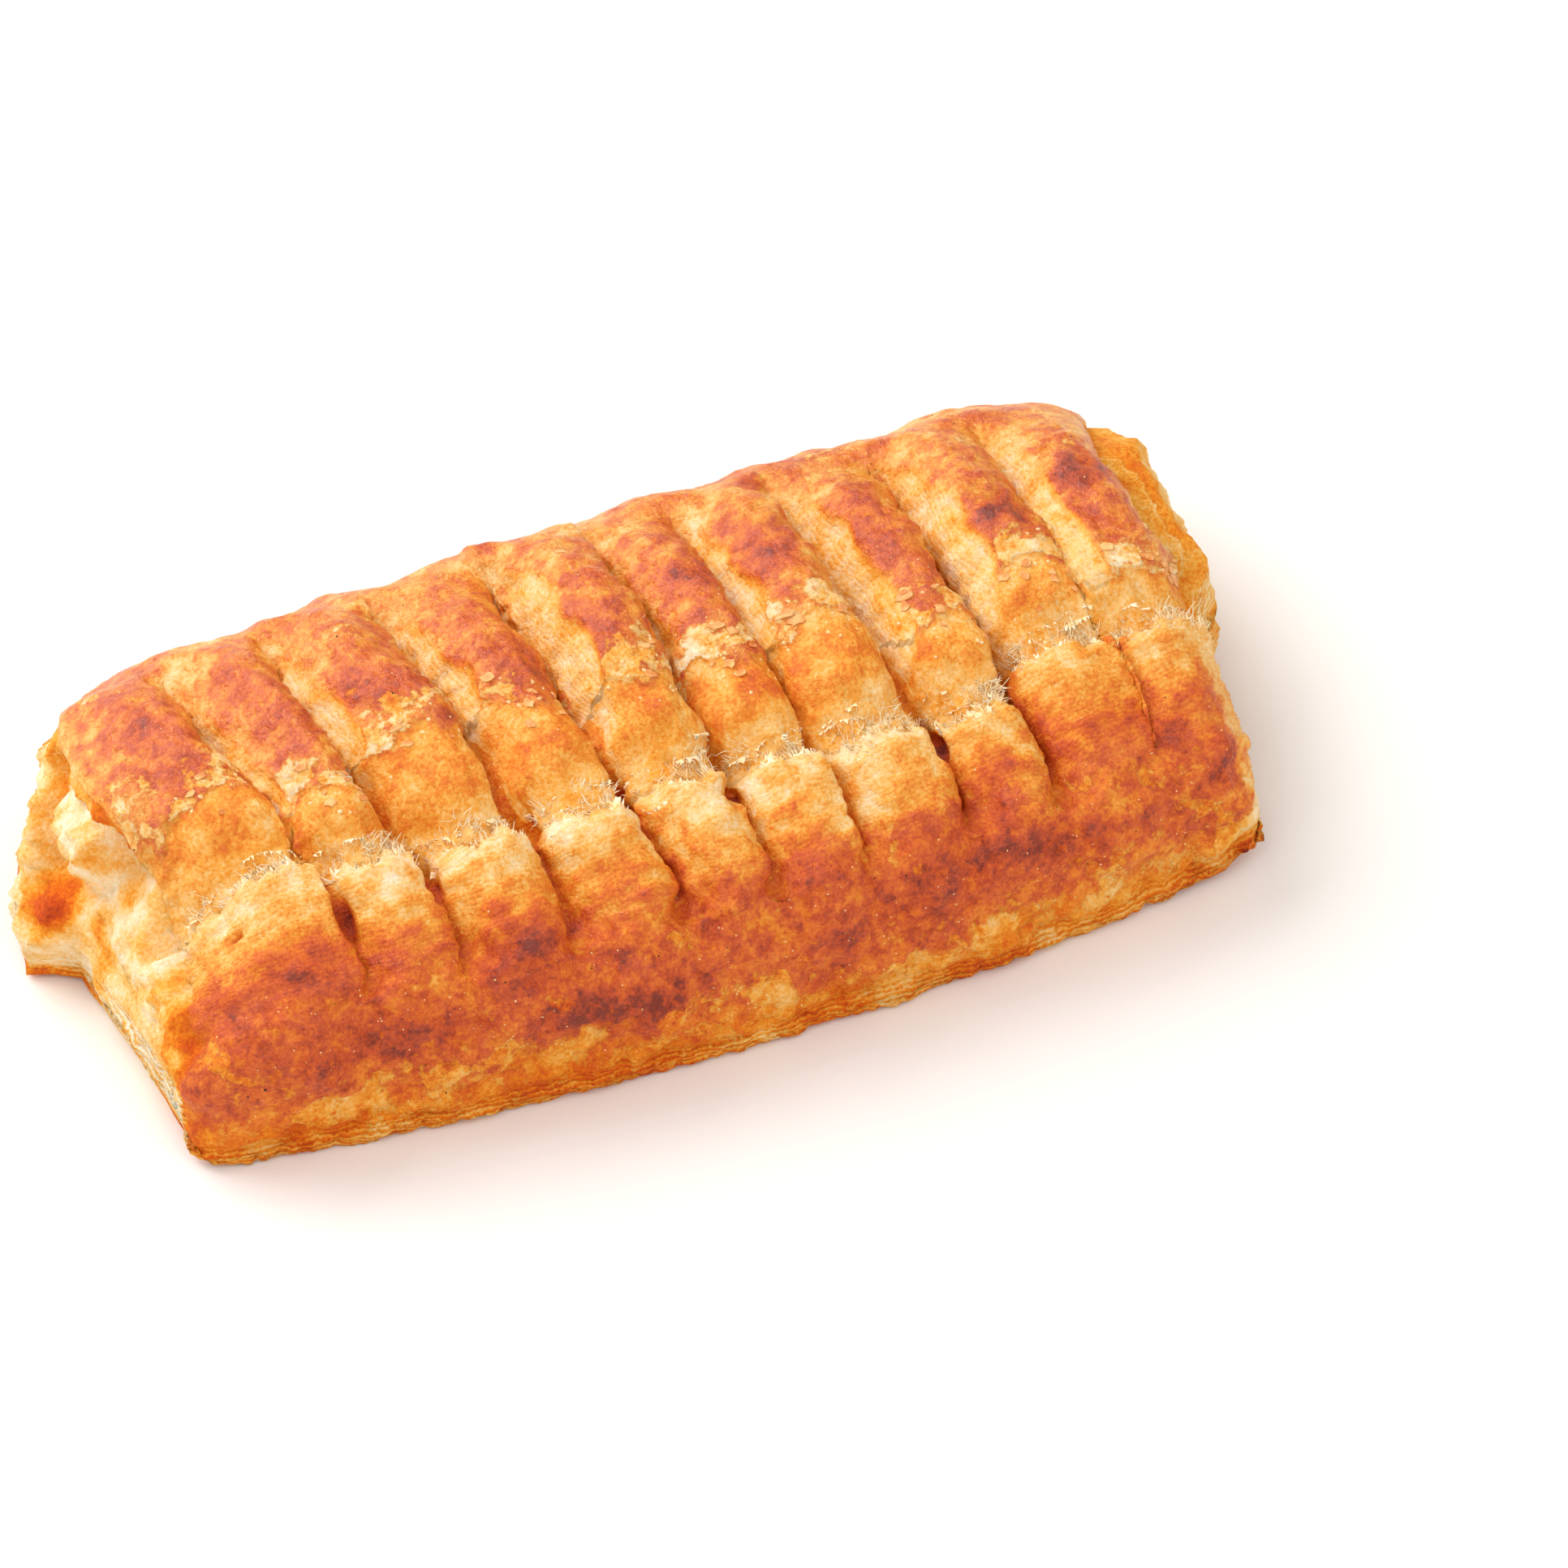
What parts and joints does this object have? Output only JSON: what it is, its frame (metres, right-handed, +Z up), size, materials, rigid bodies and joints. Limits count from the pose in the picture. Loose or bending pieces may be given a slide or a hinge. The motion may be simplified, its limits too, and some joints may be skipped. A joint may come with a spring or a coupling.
{
  "type": "chicken puff",
  "caption": "Long baked puff pastry parcel: slit, flaky top strips torn across near the front, a browned sealed front band, a rounded fold at the back and open layered ends.",
  "frame": {"origin": "middle of the footprint box, on the surface the pastry lies on", "axes": "+X along the pastry, towards the end with the smooth fold lobe; +Y towards the fold at the back, away from the sealed front band; +Z up"},
  "size_m": [0.1574, 0.0778, 0.0363],
  "materials": {
    "pastry": null
  },
  "bodies": {
    "root": {"pastry": "pastry"}
  },
  "joints": []
}
